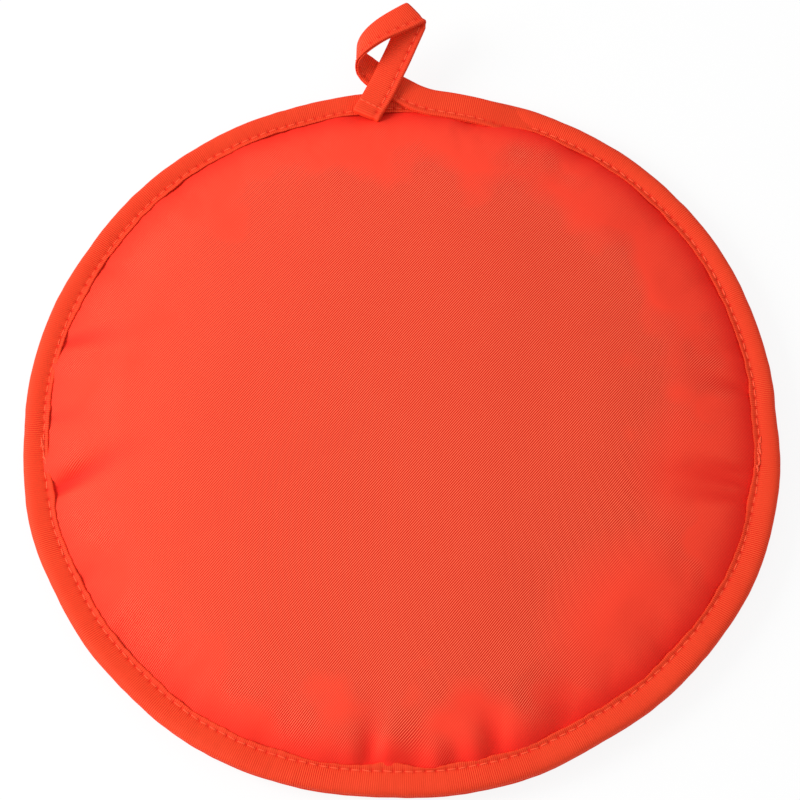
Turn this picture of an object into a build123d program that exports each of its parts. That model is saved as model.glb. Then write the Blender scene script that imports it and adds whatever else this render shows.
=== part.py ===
from build123d import *
import math
import os

# Round padded cloth pouch that keeps a stack of tortillas warm.  It lies flat with
# its back panel on the table: X to the right, Y towards the hanging loop, Z up.
# The origin is the centre of the patch that the pouch rests on.  Millimetres.

# ---------------------------------------------------------------- pouch
pouch_radius = 152.5        # 12 inches across the bound edge
parting_height = 8.0        # plane where the two panels meet, above the table
crown_height = 27.0         # top of the front panel at its centre
stack_gap = 10.0            # room for the tortillas at the centre
rest_radius = 95.0          # flat patch of the back panel on the table

# cloth, film and tape
shell_thickness = 0.5
liner_thickness = 0.3
tape_thickness = 0.6
edge_batting = 1.4          # batting pressed flat inside the binding
mouth_gap = 0.3             # between the two bound edges of the mouth
cut_edge_setback = 1.6      # raw panel edge inside the fold of the tape

# how a panel swells inwards from its binding
crown_reach = 0.58          # share of the swell that stays nearly level
tuck_reach = 0.10           # share of the swell that rises steeply at the edge
tuck_rise = 0.30            # share of the height left where the steep part begins
liner_ease = 1.2            # lift of the front liner where it leaves the edge
liner_ease_width = 5.0

# binding
seam_band = 10.2            # tape seen on the closed half, from the edge inwards
mouth_band = 11.5           # tape seen on each edge of the mouth
lip_rise = 0.5              # inner edge of the tape stands up a little
lip_width = 1.3
valley_width = 3.0          # flat strip that the stitches lie in
roll_rise = 0.6             # rounded roll outside the stitches
roll_inset = 3.6
nose_drop = 0.4
lip_round = 1.0
valley_round = 2.0
roll_round = 3.0
seam_nose_round = 2.0
mouth_nose_round = 0.9

# mouth
tack_y = -17.0              # bar tacks: the mouth is everything below this line
fold_y = -42.0              # line that the front panel bends along when it is lifted
fold_gap = 0.3

# stitching
stitch_pitch = 4.2
stitch_length = 3.3
stitch_width = 0.7
stitch_height = 0.35
tack_bars = 9
tack_bar_pitch = 1.0
tack_bar_length = 1.5
tack_bar_slant = 27.0

# hanging loop: the tail of the tape, folded double
loop_width = 12.0
loop_thickness = 1.5
strap_steps = 3             # straight lengths between two points of the strap's line
leg_angle = 62.5            # plan angle of the sewn leg, from +X
leg_end_right = -14.4       # middle of its turned-under end
leg_end_inset = 11.1        # from the bound edge
leg_sewn_length = 8.0
leg_rise = 1.5              # climb of the sewn leg towards the loose strap
leaf_gap = 0.15             # between the strap and the end turned under it
turn_under = 7.0
end_row_inset = 5.0         # row of stitches across the sewn end
end_row_pitch = 3.9
thread_row_inset = 2.4      # top stitching, from the strap's open edge

# ---------------------------------------------------------------- worked out
edge_stack = liner_thickness + edge_batting + shell_thickness
tape_top = edge_stack + tape_thickness          # above the parting plane
swell_radius = pouch_radius - mouth_band - 0.2  # where the panels start to swell
cut_radius = pouch_radius - cut_edge_setback
mouth_rim = mouth_gap / 2 + tape_thickness      # liner above the parting plane
seam_lip = pouch_radius - seam_band
mouth_lip = pouch_radius - mouth_band
stitch_inset = lip_width + valley_width / 2     # from the tape's inner edge

tack_plane = Plane.XZ.offset(-tack_y)
fold_plane = Plane.XZ.offset(-fold_y)
flap_plane = Plane.XZ.offset(-fold_y + fold_gap)
LOOP_SIDE = Keep.BOTTOM                         # the side of a plane towards +Y
MOUTH_SIDE = Keep.TOP                           # the side of a plane towards -Y


def swell(flat, middle, edge, end_radius):
    """Line of one cloth face from the axis out to where it starts to swell."""
    span = end_radius - flat
    if flat > 0:
        Line((0, middle), (flat, middle))
    Bezier(
        (flat, middle),
        (flat + crown_reach * span, middle),
        (end_radius - tuck_reach * span, edge + (1 - tuck_rise) * (middle - edge)),
        (end_radius, edge),
    )


def outer_line(way, crown, flat, depth):
    """Outside of a panel, or a face that many millimetres inside it."""
    edge = parting_height + way * (edge_stack - depth)
    swell(flat, crown - way * depth, edge, swell_radius)
    Line((swell_radius, edge), (cut_radius, edge))
    return crown - way * depth, edge


def inner_line(way, ceiling, rim, depth):
    """Inside of a panel, or a face that many millimetres outside it."""
    middle = ceiling + way * depth
    eased = parting_height + way * depth + (liner_ease if way > 0 else 0)
    edge = parting_height + way * (rim + depth)
    eased_radius = swell_radius - liner_ease_width
    if way > 0:
        swell(0, middle, eased, eased_radius)
    else:
        Line((0, middle), (eased_radius, eased))
    Polyline((eased_radius, eased), (swell_radius, edge), (cut_radius, edge))
    return middle, edge


def round_layer(first_line, second_line):
    """Full round layer of a panel between two of the lines above."""
    with BuildPart() as layer:
        with BuildSketch(Plane.XZ):
            with BuildLine():
                first_middle, first_edge = first_line()
                second_middle, second_edge = second_line()
                Line((0, first_middle), (0, second_middle))
                Line((cut_radius, first_edge), (cut_radius, second_edge))
            make_face()
        revolve(axis=Axis.Z)
    return layer.part


def trimmed(solid, *cuts):
    """The solid cut by planes, each with the side that is kept."""
    with BuildPart() as piece:
        add(solid)
        for plane, side in cuts:
            split(bisect_by=plane, keep=side)
    return piece.part


def panel_layers(way, crown, ceiling, flat, rim):
    """Shell, batting and liner of one panel, as full rounds."""
    shell = round_layer(
        lambda: outer_line(way, crown, flat, 0),
        lambda: outer_line(way, crown, flat, shell_thickness),
    )
    batting = round_layer(
        lambda: outer_line(way, crown, flat, shell_thickness),
        lambda: inner_line(way, ceiling, rim, liner_thickness),
    )
    liner = round_layer(
        lambda: inner_line(way, ceiling, rim, liner_thickness),
        lambda: inner_line(way, ceiling, rim, 0),
    )
    return shell, batting, liner


# ---------------------------------------------------------------- panels
front_seam = panel_layers(1, crown_height, parting_height + stack_gap, 0, 0)
front_mouth = panel_layers(1, crown_height, parting_height + stack_gap, 0, mouth_rim)
back_seam = panel_layers(-1, 0, parting_height, rest_radius, 0)
back_mouth = panel_layers(-1, 0, parting_height, rest_radius, mouth_rim)

# back panel: whole round, its inside stepped down at the mouth for the tape
with BuildPart() as back_shell:
    add(back_seam[0])
back_shell.part.label = "back_shell"

with BuildPart() as back_batting:
    add(trimmed(back_seam[1], (tack_plane, LOOP_SIDE)))
    add(trimmed(back_mouth[1], (tack_plane, MOUTH_SIDE)))
back_batting.part.label = "back_batting"

with BuildPart() as back_liner:
    add(trimmed(back_seam[2], (tack_plane, LOOP_SIDE)))
    add(trimmed(back_mouth[2], (tack_plane, MOUTH_SIDE)))
back_liner.part.label = "back_liner"

# front panel: the part behind the fold line stays down
with BuildPart() as front_shell:
    add(trimmed(front_seam[0], (fold_plane, LOOP_SIDE)))
front_shell.part.label = "front_shell"

with BuildPart() as front_batting:
    add(trimmed(front_seam[1], (tack_plane, LOOP_SIDE)))
    add(trimmed(front_mouth[1], (tack_plane, MOUTH_SIDE), (fold_plane, LOOP_SIDE)))
front_batting.part.label = "front_batting"

with BuildPart() as front_liner:
    add(trimmed(front_seam[2], (tack_plane, LOOP_SIDE)))
    add(trimmed(front_mouth[2], (tack_plane, MOUTH_SIDE), (fold_plane, LOOP_SIDE)))
front_liner.part.label = "front_liner"

# front panel: the part that lifts
with BuildPart() as flap_shell:
    add(trimmed(front_mouth[0], (flap_plane, MOUTH_SIDE)))
flap_shell.part.label = "flap_shell"

with BuildPart() as flap_batting:
    add(trimmed(front_mouth[1], (flap_plane, MOUTH_SIDE)))
flap_batting.part.label = "flap_batting"

with BuildPart() as flap_liner:
    add(trimmed(front_mouth[2], (flap_plane, MOUTH_SIDE)))
flap_liner.part.label = "flap_liner"


# ---------------------------------------------------------------- binding
def top_arm(lip_radius, way):
    """Points of the tape's outer face from its inner edge to its outer edge."""
    valley = parting_height + way * tape_top
    return [
        (lip_radius, valley + way * lip_rise),
        (lip_radius + lip_width, valley),
        (lip_radius + lip_width + valley_width, valley),
        (pouch_radius - roll_inset, valley + way * roll_rise),
        (pouch_radius, valley - way * nose_drop),
    ]


def tape_ring(points, radii, inwards):
    """Full ring of tape whose outer face follows the points."""
    with BuildPart() as ring:
        with BuildSketch(Plane.XZ):
            with BuildLine():
                FilletPolyline(*points, radius=radii)
                offset(amount=tape_thickness, side=inwards, closed=True)
            make_face()
        revolve(axis=Axis.Z)
    return ring.part


seam_points = top_arm(seam_lip, 1) + top_arm(seam_lip, -1)[::-1]
arm_radii = [lip_round, valley_round, roll_round]
seam_ring = tape_ring(
    seam_points,
    arm_radii + [seam_nose_round, seam_nose_round] + arm_radii[::-1],
    Side.RIGHT,
)
roll_top = seam_ring.bounding_box().max.Z
mouth_face = parting_height + mouth_gap / 2
mouth_points = top_arm(mouth_lip, 1) + [(pouch_radius, mouth_face), (mouth_lip, mouth_face)]
mouth_ring = tape_ring(
    mouth_points, arm_radii + [mouth_nose_round, mouth_nose_round], Side.LEFT
)
back_mouth_ring = mirror(mouth_ring, about=Plane.XY.offset(parting_height))

with BuildPart() as seam_binding:
    add(trimmed(seam_ring, (tack_plane, LOOP_SIDE)))
seam_binding.part.label = "seam_binding"

with BuildPart() as mouth_binding_ends:
    add(trimmed(mouth_ring, (tack_plane, MOUTH_SIDE), (fold_plane, LOOP_SIDE)))
mouth_binding_ends.part.label = "mouth_binding_ends"

with BuildPart() as flap_binding:
    add(trimmed(mouth_ring, (flap_plane, MOUTH_SIDE)))
flap_binding.part.label = "flap_binding"

with BuildPart() as back_mouth_binding:
    add(trimmed(back_mouth_ring, (tack_plane, MOUTH_SIDE)))
back_mouth_binding.part.label = "back_mouth_binding"


# ---------------------------------------------------------------- stitching
def row_of_stitches(radius, height, first_angle, last_angle):
    """Straight stitches that lie one behind the other in the valley of a band."""
    count = round(math.radians(last_angle - first_angle) * radius / stitch_pitch)
    step = (last_angle - first_angle) / count
    with Locations((0, 0, height)):
        with PolarLocations(radius, count, first_angle + step / 2, count * step):
            Box(stitch_width, stitch_length, stitch_height)


def zigzag(radius, height, middle_angle):
    """Dense slanted stitches of a bar tack."""
    step = math.degrees(tack_bar_pitch / radius)
    first = middle_angle - step * (tack_bars - 1) / 2
    for bar in range(tack_bars):
        with Locations((0, 0, height)):
            with PolarLocations(radius, 1, first + bar * step):
                Box(
                    tack_bar_length,
                    stitch_width,
                    stitch_height,
                    rotation=(0, 0, tack_bar_slant * (-1) ** bar),
                )


seam_row = seam_lip + stitch_inset
mouth_row = mouth_lip + stitch_inset
tack_row = (seam_row + mouth_row) / 2
thread_heights = [parting_height + way * (tape_top + stitch_height / 2) for way in (1, -1)]
tack_angle = math.degrees(math.asin(-tack_y / tack_row))
tack_reach = math.degrees(tack_bars * tack_bar_pitch / 2 / tack_row)
fold_reach = math.degrees(stitch_pitch / 4 / mouth_row)
fold_angle = math.degrees(math.asin(-fold_y / mouth_row)) - fold_reach
flap_angle = math.degrees(math.asin((fold_gap - fold_y) / mouth_row)) + fold_reach

with BuildPart() as seam_stitching:
    for thread_height in thread_heights:
        row_of_stitches(seam_row, thread_height, tack_reach - tack_angle, 180 + tack_angle - tack_reach)
seam_stitching.part.label = "seam_stitching"

with BuildPart() as mouth_end_stitching:
    mouth_end = (-fold_angle, -tack_angle - tack_reach)
    row_of_stitches(mouth_row, thread_heights[0], *mouth_end)
    row_of_stitches(mouth_row, thread_heights[0], 180 - mouth_end[1], 180 - mouth_end[0])
mouth_end_stitching.part.label = "mouth_end_stitching"

with BuildPart() as flap_stitching:
    row_of_stitches(mouth_row, thread_heights[0], 180 + flap_angle, 360 - flap_angle)
flap_stitching.part.label = "flap_stitching"

with BuildPart() as back_mouth_stitching:
    row_of_stitches(
        mouth_row, thread_heights[1], 180 + tack_angle + tack_reach, 360 - tack_angle - tack_reach
    )
back_mouth_stitching.part.label = "back_mouth_stitching"

with BuildPart() as left_bar_tack:
    for thread_height in thread_heights:
        zigzag(tack_row, thread_height, 180 + tack_angle)
left_bar_tack.part.label = "left_bar_tack"

with BuildPart() as right_bar_tack:
    for thread_height in thread_heights:
        zigzag(tack_row, thread_height, -tack_angle)
right_bar_tack.part.label = "right_bar_tack"


# ---------------------------------------------------------------- hanging loop
# Middle line of the strap, with the plan angle of its width at each point.  The tail
# slides off the rim to the left, rises in a round bend, runs back over itself to the
# upper right, folds sharply and comes down as the leg that is sewn on the band.  Places
# are in twelfths of the strap's width: right of the middle, beyond the bound edge, and
# above the strap's height as it lies on the rim.
leaf_height = 2 * loop_thickness + leaf_gap
leg_start = (leaf_height + leg_rise - loop_thickness) * 12 / loop_width
tail_route = [
    ((30.0, -8.2, 0.0), 78.5),
    ((15.2, -6.2, 0.0), 77.0),
    ((8.3, -4.1, 0.0), 72.5),
    ((0.1, -1.0, 0.1), 69.0),
]
loop_route = [
    ((-0.2, -0.9, 0.3), 69.0),
    ((-8.0, 2.5, 0.45), 70.0),
    ((-14.5, 5.5, 0.65), 78.0),
    ((-18.7, 7.3, 3.15), 85.0),
    ((-20.1, 8.7, 6.95), 92.0),
    ((-18.6, 10.3, 10.65), 101.0),
    ((-15.0, 12.3, 13.15), 112.0),
    ((-9.0, 16.3, 14.85), 124.0),
    ((-2.5, 21.5, 15.45), 133.0),
    ((4.2, 27.4, 14.85), 141.5),
    ((5.0, 28.4, 14.35), 142.0),
    ((5.3, 28.8, 13.05), 142.5),
    ((5.0, 28.4, 11.75), 143.0),
    ((4.2, 27.1, 11.15), 145.0),
    ((0.9, 18.3, 8.55), 152.5),
    ((-4.2, 8.4, 5.85), 152.5),
    ((-10.5, -3.6, leg_start), 152.5),
]


def strap_point(right, beyond, above):
    """Point of the strap's middle line, from a place in its route."""
    twelfth = loop_width / 12
    lying = roll_top + loop_thickness / 2
    return Vector(right * twelfth, pouch_radius + beyond * twelfth, lying + above * twelfth)


def strap_way(plan_angle, climb=0):
    """Direction of the strap from its plan angle and its climb per unit length."""
    angle = math.radians(plan_angle)
    return Vector(math.cos(angle), math.sin(angle), climb).normalized()


def strap_frame(route, first_way, last_way):
    """Function that gives the plane across a strap, at a place counted in route points."""
    points = [strap_point(*place) for place, _ in route]
    middle_line = Spline(points, tangents=(first_way, last_way))
    marks = [middle_line.param_at_point(point) for point in points]

    def plane_at(place):
        first = min(int(place), len(route) - 2)
        share = place - first
        mark = marks[first] + share * (marks[first + 1] - marks[first])
        turn = math.radians(route[first][1] + share * (route[first + 1][1] - route[first][1]))
        along = middle_line % mark
        across = Vector(math.cos(turn), math.sin(turn), 0)
        across -= along * across.dot(along)
        return Plane(middle_line @ mark, x_dir=across, z_dir=along)

    return plane_at


def strap(route, plane_at):
    """Flat folded tape, as one short straight length after another."""
    lengths = strap_steps * (len(route) - 1)
    planes = [plane_at(number / strap_steps) for number in range(lengths + 1)]
    with BuildPart() as tape:
        for ends in zip(planes, planes[1:]):
            for plane in ends:
                with BuildSketch(plane):
                    Rectangle(loop_width, loop_thickness)
            loft(ruled=True)
    return tape.part


def top_stitches(route, plane_at, first, last, faces):
    """Stitches along the strap's open edge, from one route point to another."""
    for number in range(first, last):
        reach = (strap_point(*route[number + 1][0]) - strap_point(*route[number][0])).length
        count = round(reach / stitch_pitch)
        for stitch in range(count):
            plane = plane_at(number + (stitch + 0.5) / count)
            for face in faces:
                above = face * (loop_thickness + stitch_height) / 2
                with Locations(plane.location * Location((open_edge_row, above, 0))):
                    Box(stitch_width, stitch_height, stitch_length)


open_edge_row = thread_row_inset - loop_width / 2
tail_plane_at = strap_frame(tail_route, strap_way(168.5), strap_way(159.0))
loop_plane_at = strap_frame(loop_route, strap_way(159.0), strap_way(leg_angle + 180, -0.15))

with BuildPart() as loop_tail:
    add(strap(tail_route, tail_plane_at))
loop_tail.part.label = "loop_tail"

with BuildPart() as loop_tail_stitching:
    top_stitches(tail_route, tail_plane_at, 0, 3, [-1])
    add(loop_tail.part, mode=Mode.SUBTRACT)
loop_tail_stitching.part.label = "loop_tail_stitching"

with BuildPart() as hanging_loop:
    add(strap(loop_route, loop_plane_at))
hanging_loop.part.label = "hanging_loop"

with BuildPart() as loop_top_stitching:
    top_stitches(loop_route, loop_plane_at, 0, 2, [-1])
    top_stitches(loop_route, loop_plane_at, 6, 9, [1, -1])
    top_stitches(loop_route, loop_plane_at, 13, 16, [1, -1])
    add(hanging_loop.part, mode=Mode.SUBTRACT)
loop_top_stitching.part.label = "loop_top_stitching"

# end of the loop: turned under itself and sewn on the band
leg_way = strap_way(leg_angle)
leg_plane = Plane(
    origin=(leg_end_right, pouch_radius - leg_end_inset, roll_top),
    x_dir=leg_way,
    z_dir=leg_way.cross(Vector(0, 0, 1)),
)

with BuildPart() as loop_sewn_end:
    with BuildSketch(leg_plane):
        with BuildLine():
            FilletPolyline(
                (leg_sewn_length, leaf_height + leg_rise),
                (0, leaf_height),
                (0, 0),
                (turn_under, 0),
                radius=leaf_height / 2,
            )
            offset(amount=loop_thickness, side=Side.LEFT, closed=True)
        make_face()
    extrude(amount=loop_width / 2, both=True)
loop_sewn_end.part.label = "loop_sewn_end"

# its upper leaf climbs, and the stitches lie on that slope
leaf_slope = math.degrees(math.atan(leg_rise / leg_sewn_length))
leaf_face = leg_plane.location * Location((0, leaf_height, 0), (0, 0, leaf_slope))
thread_lift = stitch_height / 2

with BuildPart() as loop_end_stitching:
    for across in (-1, 0, 1):
        with Locations(leaf_face * Location((end_row_inset, thread_lift, across * end_row_pitch))):
            Box(stitch_width, stitch_height, stitch_length)
    last_stitch = (end_row_inset - stitch_pitch / 2, thread_lift, -open_edge_row)
    with Locations(leaf_face * Location(last_stitch)):
        Box(stitch_length, stitch_height, stitch_width)
loop_end_stitching.part.label = "loop_end_stitching"

finished = [
    back_shell, back_batting, back_liner, back_mouth_binding, back_mouth_stitching,
    front_shell, front_batting, front_liner, seam_binding, seam_stitching,
    mouth_binding_ends, mouth_end_stitching, left_bar_tack, right_bar_tack,
    flap_shell, flap_batting, flap_liner, flap_binding, flap_stitching,
    loop_tail, loop_tail_stitching, loop_sewn_end, loop_end_stitching,
    hanging_loop, loop_top_stitching,
]
os.makedirs("parts", exist_ok=True)
for piece in finished:
    export_step(piece.part, f"parts/{piece.part.label}.step")
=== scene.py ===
import math
import random

import bmesh
import bpy
from mathutils import Euler, Matrix, Vector, noise
from mathutils.geometry import interpolate_bezier


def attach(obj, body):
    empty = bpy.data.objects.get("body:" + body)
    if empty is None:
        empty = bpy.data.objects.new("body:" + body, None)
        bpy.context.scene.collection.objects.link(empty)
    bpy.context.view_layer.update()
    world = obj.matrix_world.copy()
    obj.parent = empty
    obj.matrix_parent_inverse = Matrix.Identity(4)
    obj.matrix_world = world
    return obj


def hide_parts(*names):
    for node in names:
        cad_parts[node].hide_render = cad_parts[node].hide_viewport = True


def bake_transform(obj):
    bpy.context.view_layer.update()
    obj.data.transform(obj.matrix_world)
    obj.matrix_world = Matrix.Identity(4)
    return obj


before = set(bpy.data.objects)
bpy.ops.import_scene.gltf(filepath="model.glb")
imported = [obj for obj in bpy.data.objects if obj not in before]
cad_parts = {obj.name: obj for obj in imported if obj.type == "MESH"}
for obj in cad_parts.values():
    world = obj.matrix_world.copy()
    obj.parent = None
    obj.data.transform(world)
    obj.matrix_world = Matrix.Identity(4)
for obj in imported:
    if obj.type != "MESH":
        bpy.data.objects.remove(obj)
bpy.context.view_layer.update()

# ---------------------------------------------------------------- back cloth
# A round of fine polyester twill, dyed orange red, pressed flat under the binding all
# round.  It lies on the table on a flat patch and curves up to the edge.
mm = 0.001
turn = 2 * math.pi

# height at which the panels part, each panel's thickness at the edge, and the cloth's
parting_height = 8.0 * mm
edge_stack = 2.2 * mm
shell_thickness = 0.5 * mm

# radii: the patch on the table, where the binding begins, and the cloth's raw edge
rest_radius = 95.0 * mm
swell_radius = 140.8 * mm
cut_radius = 150.9 * mm


class Wire:
    """A shader socket that sums can be written with."""

    def __init__(self, shading, socket):
        self.shading = shading
        self.socket = socket

    def maths(self, operation, *values):
        return self.shading.node("ShaderNodeMath", {"operation": operation}, dict(enumerate(values)))

    def __add__(self, other):
        return self.maths("ADD", self, other)

    def __sub__(self, other):
        return self.maths("SUBTRACT", self, other)

    def __mul__(self, other):
        return self.maths("MULTIPLY", self, other)

    def __radd__(self, other):
        return self.maths("ADD", other, self)

    def __rsub__(self, other):
        return self.maths("SUBTRACT", other, self)

    def __rmul__(self, other):
        return self.maths("MULTIPLY", other, self)

    def wave(self):
        """Sine of the value, from 0 to 1."""
        return self.maths("SINE", self) * 0.5 + 0.5

    def least(self, other):
        """The smaller of two values."""
        return self.maths("MINIMUM", self, other)

    def kept(self, low, high):
        """The value, never under low or over high."""
        return self.maths("MAXIMUM", self, low).least(high)


class Shading:
    """A node tree, and the one method that adds a node to it."""

    def __init__(self, tree):
        self.tree = tree

    def node(self, kind, settings=None, sockets=None, output=0):
        node = self.tree.nodes.new(kind)
        for name, value in (settings or {}).items():
            setattr(node, name, value)
        for name, value in (sockets or {}).items():
            self.link(node.inputs[name], value)
        return Wire(self, node.outputs[output])

    def link(self, socket, value):
        if isinstance(value, Wire):
            self.tree.links.new(value.socket, socket)
        else:
            socket.default_value = value


class Finish(Shading):
    """A material of the pouch, with its shader's own settings."""

    def __init__(self, name, **settings):
        self.material = bpy.data.materials.new(name)
        self.material.use_nodes = True
        super().__init__(self.material.node_tree)
        self.shader = self.tree.nodes["Principled BSDF"]
        self.drive(**settings)

    def drive(self, **sockets):
        """Sets or links sockets of the shader."""
        for name, value in sockets.items():
            self.link(self.shader.inputs[name.replace("_", " ")], value)

    def flat_cut(self):
        """Place on the cloth's flat cut in metres, and its two coordinates."""
        place = self.node("ShaderNodeUVMap", {"uv_map": "flat_cut"})
        first = self.node("ShaderNodeSeparateXYZ", None, {0: place})
        return place, first, Wire(self, first.socket.node.outputs[1])

    def cloud(self, place, size, detail=2.0):
        """Soft noise from 0 to 1 whose blots are about that many metres across."""
        return self.node(
            "ShaderNodeTexNoise",
            None,
            {"Vector": place, "Scale": 1 / size, "Detail": detail, "Roughness": 0.55},
        )

    def sway(self, place, size, reach):
        """The same noise about 0, with reach between its lowest and its highest."""
        return (self.cloud(place, size) - 0.5) * reach

    def distance(self, place, spot):
        """How far a place is from a spot, in metres."""
        settings = {"operation": "DISTANCE"}
        return self.node("ShaderNodeVectorMath", settings, {0: place, 1: spot}, "Value")

    def blend(self, share, first, second):
        """First colour where the share is 0, second where it is 1."""
        return self.node(
            "ShaderNodeMix", {"data_type": "RGBA"}, {0: share, 6: first, 7: second}, output=2
        )

    def relief(self, height, depth, strength):
        """Normal of a surface whose relief is height, from 0 to 1, times depth."""
        return self.node(
            "ShaderNodeBump", None, {"Height": height, "Distance": depth, "Strength": strength}
        )


# the twill's ridges climb to the right: how many there are to the metre across and
# along, and how much the ridges, the yarns over them and the fuzz each stand up
lines_across, lines_along = 980, 810
ridge_share, cross_share, fuzz_share = 0.80, 0.12, 0.08
weave_tone, weave_contrast = 0.05, 2.8
twill_even = (1.0, 0.057, 0.027, 1)
# painted shade: the deeper, darker red the cloth is given in its folds and along the tape
twill_fold_shade = (0.86, 0.014, 0.010, 1)
twill_ridge = (1.0, 0.200, 0.100, 1)
twill_groove = (0.66, 0.0, 0.0, 1)
# how far the painted fold shade goes over the cloth's own colour
fold_shade_share = 0.9

# how clearly the weave shows: best in a rough round over the middle, a little less
# towards the left, and hardly in two smooth spots on the right
woven_middle = (-4 * mm, -6 * mm, 0)
woven_radius, woven_fade = 137.5 * mm, 36
patch_size, patch_reach = 38 * mm, 4.4
smooth_spots = ((104 * mm, -94 * mm, 0), (142 * mm, -26 * mm, 0))
smooth_radius, smooth_fade = 20 * mm, 30
left_clear, left_fade = 1.05, 3.2
least_clear = 0.18

twill = Finish("orange_red_twill", Specular_IOR_Level=0.08)
place, across, along = twill.flat_cut()
drift = twill.sway(place, 30 * mm, 0.8)
ridge = ((across * lines_across - along * lines_along + drift) * turn).wave()
cross = ((across * lines_along + along * lines_across + drift) * turn).wave()
fuzz = twill.cloud(place, 0.5 * mm)
weave = ridge * ridge_share + cross * cross_share + fuzz * fuzz_share

clear = (woven_radius - twill.distance(place, woven_middle)) * woven_fade
clear = clear + twill.sway(place, patch_size, patch_reach)
for spot in smooth_spots:
    clear = clear.least((twill.distance(place, spot) - smooth_radius) * smooth_fade)
clear = clear.least(across * left_fade + left_clear).kept(least_clear, 1.0)

faded = twill.sway(place, 45 * mm, 0.10) + twill.sway(place, 9 * mm, 0.08)
tone = (weave - 0.5) * weave_contrast + weave_tone + faded
threads = twill.blend(tone.kept(0.0, 1.0), twill_groove, twill_ridge)
plain = twill.blend(clear, twill_even, threads)
# painted shade in the folds and along the tape, read from the cloth's attribute
fold_shade = twill.node("ShaderNodeAttribute", {"attribute_name": "fold_shade"}, output="Fac")
twill.drive(
    Base_Color=twill.blend(fold_shade * fold_shade_share, plain, twill_fold_shade),
    Roughness=0.62 + 0.16 * fuzz,
    Normal=twill.relief(weave, 0.09 * mm, 0.45),
)

# how a panel swells: how far out its crown stays level, and where and how high its
# shoulder is, as shares of the panel's width and height
level_share, shoulder_share, shoulder_rise = 0.58, 0.10, 0.7
patch_rings, rim_rings = 12, 5
outer_steps = 480


def swell_line(middle, edge, flat=0.0, end=swell_radius, points=72):
    """Points of a cloth face from the pouch's axis to where the binding begins."""
    span = end - flat
    curve = interpolate_bezier(
        (flat, 0, middle),
        (flat + level_share * span, 0, middle),
        (end - shoulder_share * span, 0, edge + shoulder_rise * (middle - edge)),
        (end, 0, edge),
        points,
    )
    steps = range(patch_rings if flat else 0)
    return [Vector((flat * step / patch_rings, 0, middle)) for step in steps] + list(curve)


def rim_line(height, start=swell_radius, end=cut_radius):
    """Points of a cloth face from where the binding begins out to the raw edge."""
    span = end - start
    steps = range(1, rim_rings + 1)
    return [Vector((start + span * step / rim_rings, 0, height)) for step in steps]


def drawn_round(points, steps=outer_steps, upwards=True):
    """Round surface drawn outwards from the axis, ring by ring, through the points."""
    bm = bmesh.new()
    middle, first = points[0], points[1]
    made = bmesh.ops.create_circle(
        bm, cap_ends=True, cap_tris=True, segments=steps, radius=first.x
    )["verts"]
    for vert in made:
        vert.co.z = middle.z if vert.co.xy.length < first.x / 2 else first.z
    ring = [edge for edge in bm.edges if edge.is_boundary]
    for before, after in zip(points[1:], points[2:]):
        made = bmesh.ops.extrude_edge_only(bm, edges=ring)["geom"]
        verts = [item for item in made if isinstance(item, bmesh.types.BMVert)]
        ring = [item for item in made if isinstance(item, bmesh.types.BMEdge)]
        ring = [edge for edge in ring if edge.is_boundary]
        grow = after.x / before.x
        bmesh.ops.scale(bm, vec=(grow, grow, 1), verts=verts)
        bmesh.ops.translate(bm, vec=(0, 0, after.z - before.z), verts=verts)
    bmesh.ops.recalc_face_normals(bm, faces=bm.faces)
    closed = not any(edge.is_boundary for edge in bm.edges)
    if not closed and (sum(face.normal.z for face in bm.faces) > 0) != upwards:
        bmesh.ops.reverse_faces(bm, faces=bm.faces)
    return bm


def soft_step(value, low, high):
    """0 at low, 1 at high, and a soft ramp between them."""
    share = min(1.0, max(0.0, (value - low) / (high - low)))
    return share * share * (3 - 2 * share)


def near(angle, middle, width):
    """1 at the middle angle, in degrees, falling to 0 some widths away from it."""
    away = (angle - middle + 180) % 360 - 180
    return math.exp(-((away / width) ** 2))


# where the sewn edge strays from a true circle: at, millimetres outwards, how wide
edge_strays = (
    (2, -0.7, 4),
    (33, 1.5, 12),
    (52, 2.0, 13),
    (69, 1.0, 7),
    (108, -0.5, 7),
    (132, 0.2, 20),
    (149, -0.7, 8),
    (180, -0.4, 4),
    (198, 1.3, 8),
    (216, 1.0, 8),
    (236, 1.3, 11),
    (247, 0.4, 6),
    (269, -1.4, 10),
    (284, -0.5, 6),
    (300, -1.5, 9),
    (337, 1.7, 12),
    (352, 0.6, 6),
)

# soft waves of the edge, up and down: how high, and how many to the metre
wave_height, waves = 0.5 * mm, 31


def polar(co):
    """Angle in degrees and radius of a place, seen from above."""
    return math.degrees(math.atan2(co[1], co[0])), math.hypot(co[0], co[1])


edge_stray = [
    sum(out * near(angle, at, width) for at, out, width in edge_strays) for angle in range(361)
]


def settled(co):
    """A place on the true round, moved to where the soft pouch has it."""
    angle, radius = polar(co)
    if radius < 1 * mm:
        return Vector(co)
    whole, part = divmod(angle % 360, 1)
    stray = edge_stray[int(whole)] * (1 - part) + edge_stray[int(whole) + 1] * part
    grow = 1 + stray * mm * soft_step(radius, 60 * mm, 140 * mm) / radius
    wave = noise.noise(Vector((co[0], co[1], 0.15)) * waves)
    lift = wave_height * wave * soft_step(radius, 105 * mm, 145 * mm)
    return Vector((co[0] * grow, co[1] * grow, co[2] + lift))


def lay_flat_cut(bm):
    """UVs of a panel: its place on the flat cut, in metres."""
    cut = bm.loops.layers.uv.new("flat_cut")
    for face in bm.faces:
        for loop in face.loops:
            loop[cut].uv = loop.vert.co.xy


def make_piece(name, bm, finish, slot, *nodes):
    """Object of a finished bmesh, smooth, with its finish and the nodes it replaces."""
    mesh = bpy.data.meshes.new(name)
    bm.to_mesh(mesh)
    bm.free()
    mesh.shade_smooth()
    mesh.materials.append(finish.material)
    piece = bpy.data.objects.new(name, mesh)
    bpy.context.scene.collection.objects.link(piece)
    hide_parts(*nodes)
    return piece


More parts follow.
